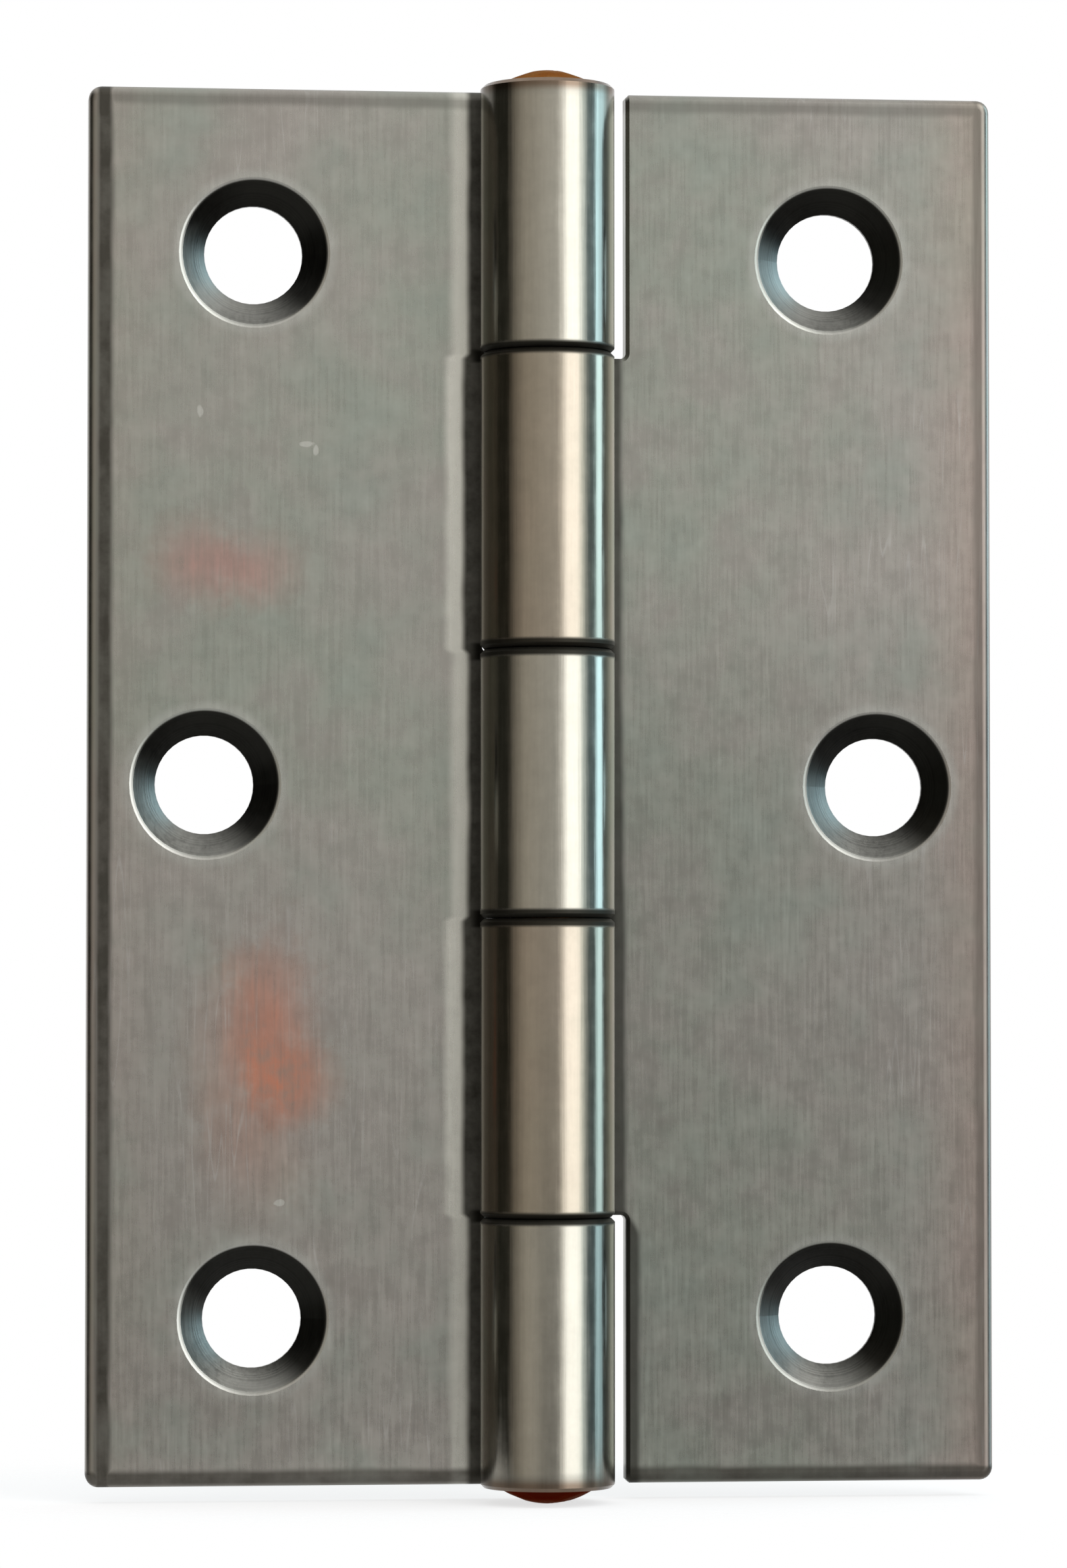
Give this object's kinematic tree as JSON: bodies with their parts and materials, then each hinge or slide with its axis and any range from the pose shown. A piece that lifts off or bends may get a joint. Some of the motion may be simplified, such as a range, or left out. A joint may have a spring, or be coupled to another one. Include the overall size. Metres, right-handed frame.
{
  "type": "butt hinge",
  "caption": "Pressed steel butt hinge with flat countersunk leaves whose rolled, interleaved knuckles turn on a riveted pin.",
  "frame": {"origin": "on the pin axis at half the leaf height", "axes": "+Z along the pin, +X from the pin axis across the turning leaf, -Y out of the countersunk front faces"},
  "size_m": [0.049, 0.0072, 0.0768],
  "materials": {
    "sheet_steel": "dull rolled steel sheet with light handling marks and faint reddish stains",
    "pin_steel": "browned steel with hammered rivet ends"
  },
  "bodies": {
    "fixed_leaf": {"leaf_three_knuckle": "sheet_steel", "hinge_pin": "pin_steel"},
    "turning_leaf": {"leaf_two_knuckle": "sheet_steel"}
  },
  "joints": [
    {"name": "leaf_swing", "type": "hinge", "parent": "fixed_leaf", "child": "turning_leaf", "pos_m": [0, 0, 0], "axis": [0, 0, 1], "range_deg": [-180, 75]}
  ]
}
